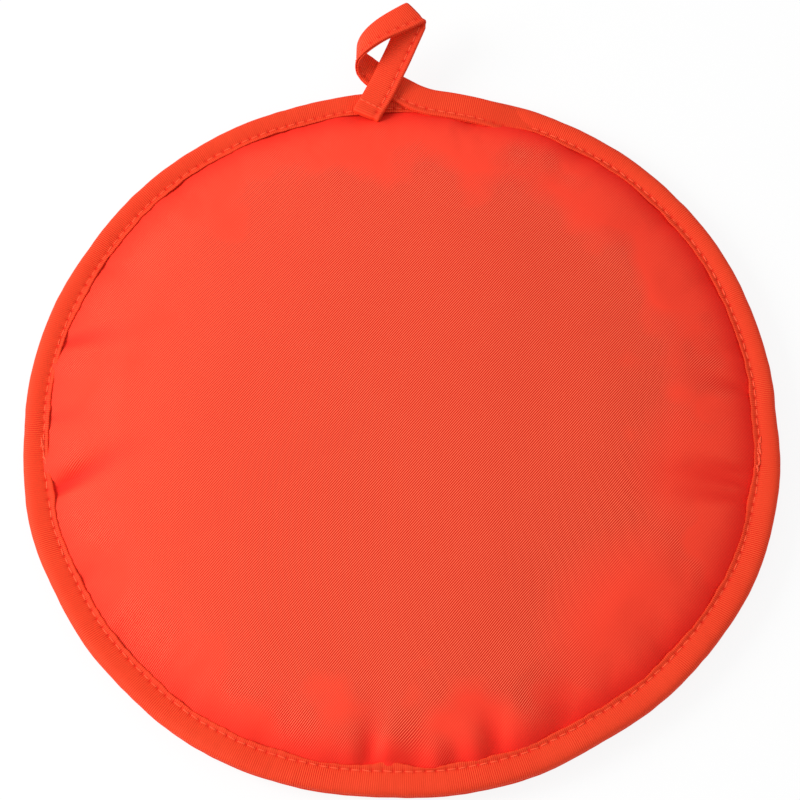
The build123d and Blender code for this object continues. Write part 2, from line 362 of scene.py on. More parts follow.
def thicken(piece, thickness):
    """Gives a cloth its thickness on the side that its faces turn away from."""
    wall = piece.modifiers.new("thickness", "SOLIDIFY")
    wall.thickness = thickness
    wall.offset = -1


# the back's bare cloth, between the table and the binding, ripples a little
back_ripple, back_ripples = 0.7 * mm, 28

back_face = parting_height - edge_stack
back_cloth_bm = drawn_round(
    swell_line(0, back_face, rest_radius, points=44) + rim_line(back_face), upwards=False
)
lay_flat_cut(back_cloth_bm)
for vert in back_cloth_bm.verts:
    radius = vert.co.xy.length
    ripple = abs(noise.noise(vert.co * back_ripples + Vector((7, 3, 1))))
    bare = soft_step(radius, 85 * mm, 110 * mm) * (1 - soft_step(radius, 128 * mm, 140 * mm))
    vert.co.z += back_ripple * ripple * bare
    vert.co = settled(vert.co)
back_cloth = make_piece("back_cloth", back_cloth_bm, twill, "shell", "back_shell")
thicken(back_cloth, shell_thickness)
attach(back_cloth, "pouch")

# ---------------------------------------------------------------- back pad
# Needled polyester batting between the back cloth and the back film, squeezed thin
# inside the binding.  On the mouth side its edge is lower, to make room for the tape.

# the film, the room that the pad leaves for its creases, and where the edge flattens
film_thickness = 0.3 * mm
crease_room = 0.9 * mm
eased_radius = swell_radius - 5.0 * mm
inner_steps = 240

# the mouth: how far its tape pushes the inner faces back, how far below the pouch's
# middle its ends are, in degrees, and how short the ramp there is
mouth_rim = 0.75 * mm
tack_angle = 6.65
rim_blur = 0.02

batting = Finish("white_batting", Roughness=0.95, Specular_IOR_Level=0.1, Sheen_Weight=0.3)
place = batting.node("ShaderNodeTexCoord", output=3)
tuft = batting.cloud(place, 2.2 * mm, 6.0)
batting.drive(
    Base_Color=batting.blend(tuft, (0.74, 0.73, 0.70, 1), (0.90, 0.89, 0.86, 1)),
    Normal=batting.relief(tuft, 0.9 * mm, 0.8),
)


def mouth_share(angle, blur):
    """1 on the open half of the edge, 0 on the closed half, and a ramp at the tacks."""
    below = -math.sin(math.radians(angle))
    tack = math.sin(math.radians(tack_angle))
    return soft_step(below, tack - blur, tack + blur)


def make_room(co, way):
    """Moves an inner face at the mouth away from the parting plane, for the tape."""
    angle, radius = polar(co)
    share = mouth_share(angle, rim_blur) * soft_step(radius, eased_radius, swell_radius)
    return Vector((co[0], co[1], co[2] + way * mouth_rim * share))


def closed_pad(outer, inner, steps=inner_steps):
    """Pad between two runs of points, both from the axis out; the outer one first."""
    bm = drawn_round(list(outer) + list(reversed(inner)), steps)
    edges = [edge for edge in bm.edges if edge.is_boundary]
    cap = bmesh.ops.contextual_create(bm, geom=edges)["faces"]
    bmesh.ops.poke(bm, faces=cap)
    bmesh.ops.recalc_face_normals(bm, faces=bm.faces)
    return bm


pad_rings = 8
back_pad_edge = back_face + shell_thickness
back_pad_top = parting_height - film_thickness - crease_room
back_pad_outer = swell_line(shell_thickness, back_pad_edge, rest_radius, points=24)
back_pad_inner = [
    Vector((eased_radius * step / pad_rings, 0, back_pad_top)) for step in range(1, pad_rings)
]
back_pad_bm = closed_pad(
    back_pad_outer + rim_line(back_pad_edge),
    back_pad_inner + rim_line(parting_height - film_thickness, eased_radius),
)
for vert in back_pad_bm.verts:
    inside = vert.co.z > (back_pad_edge + back_pad_top) / 2
    vert.co = settled(make_room(vert.co, -1) if inside else vert.co)
back_pad = make_piece("back_pad", back_pad_bm, batting, "batting", "back_batting")
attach(back_pad, "pouch")

# ---------------------------------------------------------------- back film
# Food-grade film that lines the back panel.  It lies loose on the pad, crinkles a
# little, and is sewn in with the edge.
film_rings = 60
back_crease, front_crease = 0.5 * mm, 0.7 * mm

film = Finish("milky_film", Transmission_Weight=0.35, IOR=1.45, Specular_IOR_Level=0.5)
place, across, along = film.flat_cut()
crinkle = film.cloud(place, 16 * mm, 5.0)
haze = film.cloud(place, 35 * mm)
film.drive(
    Base_Color=film.blend(haze, (0.86, 0.85, 0.83, 1), (0.78, 0.78, 0.77, 1)),
    Roughness=0.26 + 0.2 * haze,
    Normal=film.relief(crinkle, 3.0 * mm, 0.8),
)


def crinkled(co, way, depth):
    """A place on a film, pushed away from the tortillas by its long folds and creases."""
    folds = 0.5 + noise.noise(co * 26 + Vector((way, 2, 5))) * 0.7
    folds += abs(noise.noise(co * 60 + Vector((way, 4, 9)))) * 0.25
    fade = 1 - soft_step(polar(co)[1], 118 * mm, 134 * mm)
    return Vector((co[0], co[1], co[2] + way * depth * max(0.0, folds) * fade))


back_film_points = [
    Vector((eased_radius * step / film_rings, 0, parting_height))
    for step in range(film_rings + 1)
]
back_film_bm = drawn_round(
    back_film_points + rim_line(parting_height, eased_radius), inner_steps
)
lay_flat_cut(back_film_bm)
for vert in back_film_bm.verts:
    vert.co = settled(make_room(crinkled(vert.co, -1, back_crease), -1))
back_film = make_piece("back_film", back_film_bm, film, "liner", "back_liner")
thicken(back_film, film_thickness)
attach(back_film, "pouch")

# ---------------------------------------------------------------- front film
# The same film under the front panel.  It arches over the tortillas.
ceiling = parting_height + 10.0 * mm
liner_ease = 1.2 * mm


def bend_with_mouth(piece):
    """Bakes the placement of a piece of the front panel into its mesh."""
    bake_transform(piece)


front_film_edge = parting_height + liner_ease
front_film_points = swell_line(ceiling, front_film_edge, end=eased_radius, points=film_rings)
front_film_bm = drawn_round(
    front_film_points + rim_line(parting_height, eased_radius), inner_steps, upwards=False
)
lay_flat_cut(front_film_bm)
for vert in front_film_bm.verts:
    vert.co = settled(make_room(crinkled(vert.co, 1, front_crease), 1))
front_film = make_piece("front_film", front_film_bm, film, "liner", "front_liner", "flap_liner")
thicken(front_film, film_thickness)
bend_with_mouth(front_film)

# ---------------------------------------------------------------- front pad
# The same batting as in the back.  It is what domes the front panel, and it gives way
# under the pinches of the cloth.
pouch_radius = 152.5 * mm
crown_height = 27.0 * mm
front_face = parting_height + edge_stack

# how far the pad lies under the cloth's face: at the crown and at the edge
pad_gap = 2.5 * mm
pad_edge_gap = 0.9 * mm

# the tape that closes over the rim: how far in it reaches, how much further at the
# mouth, and its stitch row, in millimetres from the edge
seam_band = 10.2
mouth_extra = 1.3
stitch_row = 8.1
stitches_round = 217

# how gently the tape widens at the tacks, and how fine its ripple and wander are
mouth_blur = 0.16
tape_ripples, tape_wanders = 26, 9

# where the tape's inner edge strays: at, millimetres inwards, how wide
lip_strays = (
    (268.3, 1.9, 2.2),
    (274.6, -1.0, 2.2),
    (279.0, 0.5, 2.0),
    (286.0, 0.4, 2.5),
    (257.0, -0.4, 4.0),
    (191.5, 0.6, 2.5),
    (347.0, 0.7, 3.0),
    (3.0, 0.4, 4.0),
)


def in_hole(angle):
    """1 at a needle hole of the stitch row, 0 between the holes."""
    return max(0.0, math.cos(math.radians(angle) * stitches_round)) ** 3


def edge_noise(angle, way, fineness):
    """Noise along the edge, from -1 to 1, on the front (way 1) or the back (way -1)."""
    turned = math.radians(angle)
    return noise.noise(Vector((math.cos(turned), math.sin(turned), 1 + way)) * fineness)


def lip_wander(angle, way):
    """How far the tape's inner edge strays inwards at an angle, in millimetres."""
    far = 0.40 * edge_noise(angle, way, tape_ripples)
    far += 0.45 * edge_noise(angle, way, tape_wanders)
    if way > 0:
        far += sum(inwards * near(angle, at, width) for at, inwards, width in lip_strays)
    return far - 0.12 * in_hole(angle)


def meets_tape(co):
    """A place on the front panel, moved so that the panel swells right at the tape."""
    angle, radius = polar(co)
    start, end = swell_radius - 24 * mm, swell_radius + 6 * mm
    if not start < radius < end:
        return Vector(co)
    reach = seam_band + mouth_extra * mouth_share(angle, mouth_blur) + lip_wander(angle, 1)
    share = soft_step(radius, start, swell_radius) * soft_step(radius, end, swell_radius)
    grow = 1 + (pouch_radius - (reach - 0.5) * mm - swell_radius) * share / radius
    return Vector((co[0] * grow, co[1] * grow, co[2]))


# pinches of the front panel along the tape: at, how deep, half width and length in
# millimetres, and how far its line leans along the edge
pinches = (
    (264.8, 5.0, 2.7, 20, 0.0),
    (268.0, -1.7, 3.2, 18, -2.0),
    (272.6, 3.4, 3.2, 13, 0.0),
    (278.6, 2.0, 2.8, 12, 0.0),
    (281.8, -0.7, 3.0, 14, 0.0),
    (285.6, 4.8, 3.0, 18, -1.0),
    (290.3, -0.8, 3.6, 16, 0.0),
    (297.5, 3.8, 5.0, 18, 0.0),
    (191.2, 6.0, 2.6, 30, -7.5),
    (186.6, -1.8, 5.0, 26, -2.0),
    (178.5, 1.4, 3.2, 20, 0.0),
    (165.1, 3.0, 2.8, 26, -8.0),
    (169.5, -1.2, 4.5, 24, -4.0),
    (352.4, 3.4, 2.0, 30, -4.6),
    (350.0, 3.8, 1.9, 32, -4.0),
    (347.3, 3.0, 2.4, 34, -7.0),
    (342.4, -0.6, 3.2, 22, -4.0),
    (6.5, 3.6, 2.2, 18, 3.0),
    (14.0, 1.6, 3.6, 16, 0.0),
    (95.0, 2.6, 7.0, 9, 0.0),
    (77.5, 2.4, 5.5, 9, 0.0),
    (248.0, 1.4, 4.0, 16, 0.0),
    (233.0, 1.0, 4.0, 14, 2.0),
    (318.0, 1.6, 4.5, 18, 0.0),
    (330.0, 1.4, 4.0, 16, 0.0),
    (27.0, 1.4, 4.5, 16, 0.0),
    (41.0, 1.6, 5.0, 18, 0.0),
    (58.0, 1.2, 4.5, 14, 0.0),
    (112.0, 1.0, 4.5, 14, 0.0),
    (131.0, 1.2, 5.0, 16, 0.0),
    (150.0, 1.4, 4.0, 16, 2.0),
    (207.0, 1.2, 4.5, 16, 0.0),
    (220.0, 1.0, 4.5, 14, 0.0),
)

# no pinch is felt further away than this, in degrees and in its own lengths
widest_pinch, longest_pinch = 16, 2.2

# how many millimetres of drop give a fold its full painted shade, how much painted shade
# the cloth's edge takes along the tape, and how much less it takes at the left, which the key lamp
# lights
fold_shade_drop = 2.2
edge_shade, left_less_shade = 0.85, 0.62

# hollows of the panel, in millimetres: broad ones, ripples, and fine ones by the tape
broad_hollow, ripple_hollow, fine_hollow = 0.9, 0.22, 0.3


def pinched(co, least):
    """A place on the front panel's outside, with its pinches and soft hollows.

    No pinch takes it below the least height.  With the place comes how much painted
    shade its folds and the tape's edge give it, from 0 to 1."""
    angle, radius = polar(co)
    inset = swell_radius - radius
    covered = soft_step(-inset, 0.5 * mm, 3.0 * mm)
    drop = 0.0
    for at, deep, half_width, length, lean in pinches:
        away = (angle - at + 180) % 360 - 180
        share = max(0.0, inset / (length * mm))
        if abs(away) > widest_pinch or share > longest_pinch:
            continue
        aside = math.radians(away) * radius / mm - lean * share
        spread = half_width * (1 + 1.2 * share)
        drop += deep * math.exp(-((aside / spread) ** 2)) * math.exp(-(share**1.5) * 2.2)
    fold_shade = 1 - math.exp(-max(0.0, drop) / fold_shade_drop)
    # painted shade along the tape's edge, less on the left, where the key lamp falls
    shade_by_tape = edge_shade - left_less_shade * near(angle, 188, 62)
    fold_shade = max(fold_shade, shade_by_tape * math.exp(-((inset / (8 * mm)) ** 2)))
    fine = noise.noise(Vector((co[0] * 95, co[1] * 95, 3.0)))
    drop += fine_hollow * fine * math.exp(-max(0.0, inset) / (9 * mm))
    broad = noise.noise(Vector((co[0] * 17, co[1] * 17, 8.0)))
    ripple = noise.noise(Vector((co[0] * 44, co[1] * 30, 6.0)))
    hollow = broad_hollow * broad + ripple_hollow * ripple
    drop += hollow * soft_step(inset, 4 * mm, 40 * mm)
    drop *= mm * (1 - covered)
    room = max(0.1 * mm, co[2] - least)
    if drop > 0:
        drop = room * (1 - math.exp(-drop / room))
    return Vector((co[0], co[1], co[2] - drop)), fold_shade


front_pad_outer = swell_line(crown_height - pad_gap, front_face - pad_edge_gap, points=40)
above_film = Vector((0, 0, film_thickness + crease_room))
front_pad_inner = [point + above_film for point in front_film_points[3:-3:3]]
front_pad_bm = closed_pad(
    front_pad_outer + rim_line(front_face - shell_thickness),
    front_pad_inner + rim_line(parting_height + film_thickness, eased_radius),
    outer_steps,
)
least_pad = front_face - 1.0 * mm
for vert in front_pad_bm.verts:
    if sum(face.normal.z for face in vert.link_faces) > 0:
        place, _ = pinched(vert.co, least_pad)
        vert.co = settled(meets_tape(place))
    else:
        vert.co = settled(make_room(vert.co, 1))
front_pad = make_piece(
    "front_pad", front_pad_bm, batting, "batting", "front_batting", "flap_batting"
)
bend_with_mouth(front_pad)

# ---------------------------------------------------------------- front cloth
# The same twill over the front pad.  It is drawn in under the tape, so that it pinches
# along the stitches, and the pad puffs it out between them.  It is plain cloth all over,
# with painted shade in its folds and along the tape.
least_cloth = front_face - 0.5 * mm
puff_frames = 10
puff_limit, sink_limit = 0.9 * mm, 0.4 * mm


def puffed(piece):
    """Lets the pad puff the cloth out between the tape and the crown, which are held.

    The swell is a short simulation under pressure, and it is kept small."""
    sewn = piece.vertex_groups.new(name="sewn")
    for vert in piece.data.vertices:
        radius = vert.co.xy.length
        held = soft_step(radius, 115 * mm, 85 * mm) + soft_step(radius, 134 * mm, 140 * mm)
        sewn.add([vert.index], held, "REPLACE")
    cloth = piece.modifiers.new("puff", "CLOTH")
    cloth.settings.vertex_group_mass = "sewn"
    cloth.settings.mass = 0.3
    cloth.settings.use_pressure = True
    cloth.settings.uniform_pressure_force = 4.0
    cloth.settings.shrink_min = -0.001
    cloth.settings.bending_stiffness = 0.1
    cloth.settings.effector_weights.gravity = 0
    cloth.collision_settings.use_collision = False
    for number in range(1, puff_frames + 1):
        bpy.context.scene.frame_set(number)
    shaped = piece.evaluated_get(bpy.context.evaluated_depsgraph_get()).data
    moves = [after.co - vert.co for vert, after in zip(piece.data.vertices, shaped.vertices)]
    piece.modifiers.remove(cloth)
    piece.vertex_groups.clear()
    bpy.context.scene.frame_set(1)
    for vert, move in zip(piece.data.vertices, moves):
        move.z = max(move.z, -sink_limit)
        vert.co += move * min(1.0, puff_limit / max(move.length, 0.001 * mm))


front_cloth_bm = drawn_round(swell_line(crown_height, front_face) + rim_line(front_face))
lay_flat_cut(front_cloth_bm)
# how much painted shade each place of the cloth takes in its folds and by the tape
fold_shade_layer = front_cloth_bm.verts.layers.float.new("fold_shade")
for vert in front_cloth_bm.verts:
    place, vert[fold_shade_layer] = pinched(vert.co, least_cloth)
    vert.co = settled(meets_tape(place))
front_cloth = make_piece(
    "front_cloth", front_cloth_bm, twill, "shell", "front_shell", "flap_shell"
)
puffed(front_cloth)
thicken(front_cloth, shell_thickness)
bend_with_mouth(front_cloth)

# ---------------------------------------------------------------- seam binding
# Grosgrain tape 25 mm wide, folded over the raw edges of both panels on the closed
# half and sewn through.  Its inner edges stand up a little, the stitches lie in a
# valley, and outside them it rolls round the edge.
tape_thickness = 0.6 * mm
tape_step = 0.75 * mm
end_row = 0.02

rib_pitch = 0.85 * mm
rib_share, rib_fuzz_share = 0.8, 0.2
# how strongly the ribs show, and how much painted shade darkens the tape in the stitch valley and at
# the needle holes
rib_contrast, stitch_shade_strength = 1.3, 0.4
rib_crest = (0.91, 0.090, 0.026, 1)
rib_groove = (0.70, 0.010, 0.002, 1)

grosgrain = Finish("orange_red_grosgrain", Specular_IOR_Level=0.15)
place, along, across = grosgrain.flat_cut()
rib = ((along + grosgrain.sway(place, 14 * mm, 0.7 * mm)) * (turn / rib_pitch)).wave()
fuzz = grosgrain.cloud(place, 0.4 * mm)
ribbed = rib * rib_share + fuzz * rib_fuzz_share
clear = ((grosgrain.cloud(place, 22 * mm) - 0.34) * 3.2).kept(0.12, 1.0)
# painted shade in the stitch valley and at the needle holes
stitch_shade = grosgrain.node("ShaderNodeAttribute", {"attribute_name": "stitch_shade"}, output="Fac")
faded = grosgrain.sway(place, 25 * mm, 0.2)
tone = (ribbed - 0.5) * clear * rib_contrast + 0.5 + faded - stitch_shade * stitch_shade_strength
grosgrain.drive(
    Base_Color=grosgrain.blend(tone.kept(0.0, 1.0), rib_groove, rib_crest),
    Roughness=0.58 + 0.16 * fuzz,
    Normal=grosgrain.relief(ribbed, 0.15 * mm, 0.55),
)

# outer face of the tape over one panel: inset from the edge, and height
top_arm = (
    (10.2, 3.02),
    (9.95, 3.15),
    (9.6, 3.17),
    (9.2, 3.04),
    (8.8, 2.84),
    (8.4, 2.70),
    (8.1, 2.66),
    (7.6, 2.72),
    (7.0, 2.88),
    (6.2, 3.10),
    (5.3, 3.30),
    (4.3, 3.44),
    (3.2, 3.48),
    (2.1, 3.38),
    (1.3, 3.12),
    (0.7, 2.72),
    (0.25, 2.10),
)

# how far the sewn tape strays from that, in millimetres: its lip's ripple and flutter,
# the swell of its roll, and how deep it sinks at a needle hole
lip_ripple, lip_flutter, lip_sink = 0.18, 0.16, 0.14
roll_swell, roll_flutter, row_sink = 0.16, 0.07, 0.32
edge_ripple = 0.15


def arm_height(inset):
    """Height of the tape's face over the parting plane at an inset, in millimetres."""
    for (outer, high), (inner, low) in zip(top_arm, top_arm[1:]):
        if inset >= inner:
            share = min(1.0, (inset - inner) / (outer - inner))
            return low + (high - low) * share
    return top_arm[-1][1]


def on_tape(angle, inset, height):
    """Where a point of the true tape lies on the sewn one, and how much painted shade its stitch
    valley and needle holes give it there.

    The angle is in degrees; the inset and the height off the parting plane, in
    millimetres."""
    ring = Vector((math.cos(math.radians(angle)), math.sin(math.radians(angle)), 0))
    way = math.copysign(1, height)
    lip = soft_step(inset, stitch_row, seam_band)
    valley = math.exp(-(((inset - stitch_row) / 0.75) ** 2))
    roll = soft_step(inset, stitch_row - 1.2, stitch_row - 3.2)
    ripple = edge_noise(angle, way, tape_ripples)
    flutter = edge_noise(angle, way, 70)
    swell = edge_noise(angle, way, 20)
    hole = in_hole(angle)
    wide = mouth_extra * mouth_share(angle, mouth_blur) * soft_step(inset, 4.4, stitch_row - 0.6)
    wide += lip * lip_wander(angle, way) - edge_ripple * ripple * soft_step(inset, 2.5, 0.5)
    up = lip * (lip_ripple * ripple + lip_flutter * flutter - lip_sink * hole)
    up += roll * (roll_swell * swell + roll_flutter * flutter) - row_sink * valley * hole
    radius = pouch_radius - (inset + wide) * mm
    place = ring * radius + Vector((0, 0, parting_height + (height + way * up) * mm))
    return settled(place), valley * (0.25 + hole)


def bent_tape(arm, first, last, flat_from=None):
    """Tape bent round part of the edge, between two angles, as an open surface.

    The arm's points run from the tape's inner edge on one side.  From the point
    flat_from on, the tape lies flat.  The columns next to the cut ends lie close to
    them and keep them crisp.  The flat cut is the distance along the tape and the place
    across it."""
    sweep = math.radians(last - first) * pouch_radius
    rows = len(arm) - 1
    across = [0.0]
    for (inset, height), (next_inset, next_height) in zip(arm, arm[1:]):
        across.append(across[-1] + math.hypot(next_inset - inset, next_height - height) * mm)
    bm = bmesh.new()
    steps = round(sweep / tape_step)
    bmesh.ops.create_grid(bm, x_segments=steps, y_segments=rows, size=0.5)
    cut = bm.loops.layers.uv.new("flat_cut")
    # how much painted shade each place takes by the stitch row
    stitch_shade_layer = bm.verts.layers.float.new("stitch_shade")
    for vert in bm.verts:
        column = round((vert.co.x + 0.5) * steps)
        if column == 1:
            column = end_row
        elif column == steps - 1:
            column = steps - end_row
        vert.co = (column * sweep / steps, round((vert.co.y + 0.5) * rows), 0)
    for face in bm.faces:
        for loop in face.loops:
            loop[cut].uv = (loop.vert.co.x, across[round(loop.vert.co.y)])
    for vert in bm.verts:
        angle = first + math.degrees(vert.co.x / pouch_radius)
        row = round(vert.co.y)
        inset, height = arm[row]
        if flat_from and row >= flat_from:
            ring = Vector((math.cos(math.radians(angle)), math.sin(math.radians(angle)), 0))
            height = parting_height + height * mm
            vert.co = settled(ring * (pouch_radius - inset * mm) + Vector((0, 0, height)))
        else:
            vert.co, vert[stitch_shade_layer] = on_tape(angle, inset, height)
    if arm[0][1] > 0:
        bmesh.ops.reverse_faces(bm, faces=bm.faces)
    return bm


seam_nose = ((0.05, 1.2), (0.0, 0.5), (0.0, -0.5), (0.05, -1.2))
under_arm = tuple((inset, -height) for inset, height in reversed(top_arm))
seam_tape_bm = bent_tape(top_arm + seam_nose + under_arm, -tack_angle, 180 + tack_angle)
seam_tape = make_piece("seam_tape", seam_tape_bm, grosgrain, "tape", "seam_binding")
thicken(seam_tape, tape_thickness)
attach(seam_tape, "pouch")

# ---------------------------------------------------------------- mouth bindings
# The same tape over each panel's own raw edge on the open half.
half_gap = 0.15
mouth_nose = ((0.06, 1.5), (0.06, 0.9), (0.15, 0.4), (0.5, half_gap))
mouth_under = tuple((1 + step * 1.75, half_gap) for step in range(7))
mouth_arm = top_arm + mouth_nose + mouth_under
back_mouth_arm = tuple((inset, -height) for inset, height in mouth_arm)
open_half = (180 + tack_angle, 360 - tack_angle)
leaf_from = len(top_arm) + 2

front_mouth_bm = bent_tape(mouth_arm, *open_half, flat_from=leaf_from)
front_mouth_tape = make_piece(
    "front_mouth_tape", front_mouth_bm, grosgrain, "tape", "mouth_binding_ends", "flap_binding"
)
thicken(front_mouth_tape, tape_thickness)
bend_with_mouth(front_mouth_tape)

back_mouth_bm = bent_tape(back_mouth_arm, *open_half, flat_from=leaf_from)
back_mouth_tape = make_piece(
    "back_mouth_tape", back_mouth_bm, grosgrain, "tape", "back_mouth_binding"
)
thicken(back_mouth_tape, tape_thickness)
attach(back_mouth_tape, "pouch")

# ---------------------------------------------------------------- stitching
# One row of lockstitch in polyester thread through each band, 4.2 mm to the stitch,
# seen on the front and on the back.  Each stitch dips at its needle holes.
stitch_length = 3.5 * mm
thread_width = 0.56 * mm
thread_height = 0.5 * mm
thread_dark = (0.95, 0.050, 0.015, 1)
thread_light = (1.0, 0.15, 0.06, 1)
random.seed(11)

sewing_thread = Finish("orange_red_thread", Roughness=0.55, Specular_IOR_Level=0.25)
place = sewing_thread.node("ShaderNodeTexCoord", output=3)
fleck = sewing_thread.cloud(place, 0.35 * mm)
sewing_thread.drive(
    Base_Color=sewing_thread.blend(fleck, thread_dark, thread_light),
    Normal=sewing_thread.relief(fleck, 0.08 * mm, 0.6),
)

round_bit = bmesh.new()
bmesh.ops.create_uvsphere(round_bit, u_segments=6, v_segments=6, radius=0.5)
thread_bit = bpy.data.meshes.new("thread_bit")
round_bit.to_mesh(thread_bit)
round_bit.free()


def add_stitch(bm, middle, along, up, length=stitch_length, width=thread_width):
    """One stitch: a plump bit of thread that lies along a line on the cloth."""
    along = along.normalized()
    side = up.cross(along).normalized()
    axes = Matrix((side, along.cross(side), along)).transposed().to_4x4()
    pose = Matrix.Translation(middle) @ axes @ Matrix.Diagonal((width, thread_height, length, 1))
    thread_bit.transform(pose)
    bm.from_mesh(thread_bit)
    thread_bit.transform(pose.inverted())


def sew_row(bm, way, first, last):
    """The stitches of one side's row between two angles, in the valley of the band."""
    step = 360 / stitches_round
    for number in range(math.ceil(first / step), math.floor(last / step)):
        angle = (number + 0.5) * step
        inset = stitch_row + random.uniform(-0.15, 0.15)
        lift = random.uniform(-0.14, 0.03) + 0.22 * edge_noise(angle, way, 7)
        middle, _ = on_tape(angle, inset, way * (arm_height(inset) + lift))
        along = Matrix.Rotation(math.radians(angle) + random.uniform(-0.12, 0.12), 3, "Z")
        length = stitch_length * random.uniform(0.85, 1.05)
        add_stitch(bm, middle, along @ Vector((0, 1, 0)), Vector((0, 0, way)), length)


seam_thread_bm = bmesh.new()
for way in (1, -1):
    sew_row(seam_thread_bm, way, -tack_angle, 180 + tack_angle)
seam_thread = make_piece("seam_thread", seam_thread_bm, sewing_thread, "thread", "seam_stitching")
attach(seam_thread, "pouch")

front_mouth_thread_bm = bmesh.new()
sew_row(front_mouth_thread_bm, 1, *open_half)
front_mouth_thread = make_piece(
    "front_mouth_thread",
    front_mouth_thread_bm,
    sewing_thread,
    "thread",
    "mouth_end_stitching",
    "flap_stitching",
)
bend_with_mouth(front_mouth_thread)

back_mouth_thread_bm = bmesh.new()
sew_row(back_mouth_thread_bm, -1, *open_half)
back_mouth_thread = make_piece(
    "back_mouth_thread", back_mouth_thread_bm, sewing_thread, "thread", "back_mouth_stitching"
)
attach(back_mouth_thread, "pouch")

# ---------------------------------------------------------------- bar tacks
# Back-stitching through everything at each end of the mouth, to and fro three times,
# seen on the front and on the back.
tack_passes, tack_stitches = 3, 6

# in millimetres: from stitch to stitch, how far out they lie, and what a pass adds
tack_pitch, tack_radius = 2.3, 145
pass_lift = 0.12
short_stitch = 2.6 * mm
tack_width = 0.6 * mm


def sew_tack(name, middle_angle, first_inset, last_inset, node):
    """Three passes of short stitches along the band, drifting across it."""
    bm = bmesh.new()
    for way in (1, -1):
        for number in range(tack_passes * tack_stitches):
            run, count = divmod(number, tack_stitches)
            share = (count + 0.33 * run) / tack_stitches
            inset = first_inset + (last_inset - first_inset) * share + random.uniform(-0.5, 0.5)
            arc = (share - 0.5) * tack_stitches * tack_pitch
            angle = middle_angle + math.degrees(arc / tack_radius)
            middle, _ = on_tape(angle, inset, way * (arm_height(inset) + pass_lift * run))
            skew = math.radians(angle) + random.uniform(-0.45, 0.45)
            along = Matrix.Rotation(skew, 3, "Z") @ Vector((0, 1, 0))
            add_stitch(bm, middle, along, Vector((0, 0, way)), short_stitch, tack_width)
    tack = make_piece(name, bm, sewing_thread, "thread", node)
    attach(tack, "pouch")


sew_tack("left_tack_thread", 184.9, 7.2, 9.6, "left_bar_tack")
sew_tack("right_tack_thread", -4.6, 8.5, 8.0, "right_bar_tack")

# ---------------------------------------------------------------- hanging loop
# The tail of the binding tape, folded double and top-stitched.  It slides off the rim
# to the left, rises in a round bend, runs back to the upper right, folds sharply and
# comes down as the leg whose turned-under end is sewn on the band.
strap_points = 9
section_step = 0.75 * mm

# the row of stitches: how far from the strap's middle, in millimetres, its pitch, and
# how deep the leaf sinks at its needle holes
open_edge_row = -3.6
strap_pitch = 4.2 * mm
leaf_sink = 0.25

# middle of the strap in millimetres, and its width's plan angle and climb
rear_route = (
    ((56.0, 134.3, 9.7), 67.5, 0),
    ((46.0, 138.3, 10.6), 71.5, 0),
    ((38.0, 140.9, 11.6), 75.0, 0),
    ((30.0, 142.9, 12.05), 79.0, 0),
    ((20.3, 144.9, 12.05), 79.0, 0),
    ((12.5, 146.4, 12.05), 75.0, 0),
    ((6.7, 148.5, 12.1), 70.0, 0),
    ((1.5, 151.2, 12.2), 66.0, 0),
    ((-4.8, 154.6, 12.7), 64.0, 0),
    ((-11.2, 158.5, 13.9), 64.0, 0),
    ((-14.4, 161.0, 14.8), 67.0, -3),
    ((-16.5, 163.0, 15.7), 72.0, -13),
    ((-17.7, 164.4, 17.0), 80.5, -27),
    ((-18.1, 165.4, 18.9), 90.0, -34),
    ((-17.2, 166.7, 21.0), 99.0, -33),
    ((-15.4, 168.4, 23.0), 106.0, -28),
    ((-12.6, 170.5, 24.6), 111.5, -23),
    ((-8.8, 173.1, 25.7), 115.0, -17),
    ((-4.2, 175.8, 26.3), 119.0, -10),
    ((1.0, 178.6, 26.6), 125.0, -3),
    ((5.7, 181.3, 26.3), 130.5, 0),
    ((6.3, 181.7, 25.4), 131.0, 0),
)
front_route = (
    ((6.3, 181.7, 25.4), 131.0, 0),
    ((6.1, 181.2, 24.6), 133.5, 0),
    ((5.2, 178.6, 23.9), 147.0, 0),
    ((2.7, 173.2, 22.2), 151.5, 0),
    ((-1.9, 163.9, 18.8), 152.0, 0),
    ((-4.8, 158.1, 16.9), 152.0, 0),
    ((-7.7, 152.2, 15.3), 151.0, 0),
    ((-10.2, 147.6, 14.5), 150.0, 0),
    ((-12.6, 143.6, 13.95), 152.0, 0),
    ((-14.3, 140.7, 13.8), 154.5, 0),
    ((-14.7, 139.9, 13.45), 155.0, 0),
    ((-14.8, 139.7, 12.9), 155.0, 0),
    ((-14.7, 139.9, 12.4), 155.0, 0),
    ((-14.3, 140.7, 12.2), 154.5, 0),
    ((-11.6, 146.2, 12.1), 151.0, 0),
)

# section of the strap in millimetres: across it and through it.  Its two leaves part at
# the left.
strap_leaf = (
    (-4.9, 0.05),
    (-5.95, 0.20),
    (-6.1, 0.55),
    (-5.85, 0.86),
    (-5.2, 0.88),
    (-4.6, 0.72),
    (-4.1, 0.58),
    (-3.6, 0.52),
    (-3.1, 0.58),
    (-2.5, 0.68),
    (-1.6, 0.76),
    (0.0, 0.80),
    (2.0, 0.80),
    (4.2, 0.76),
    (5.4, 0.66),
    (5.9, 0.38),
    (6.0, 0.0),
)
strap_section = strap_leaf + tuple((x, -y) for x, y in reversed(strap_leaf[:-1]))


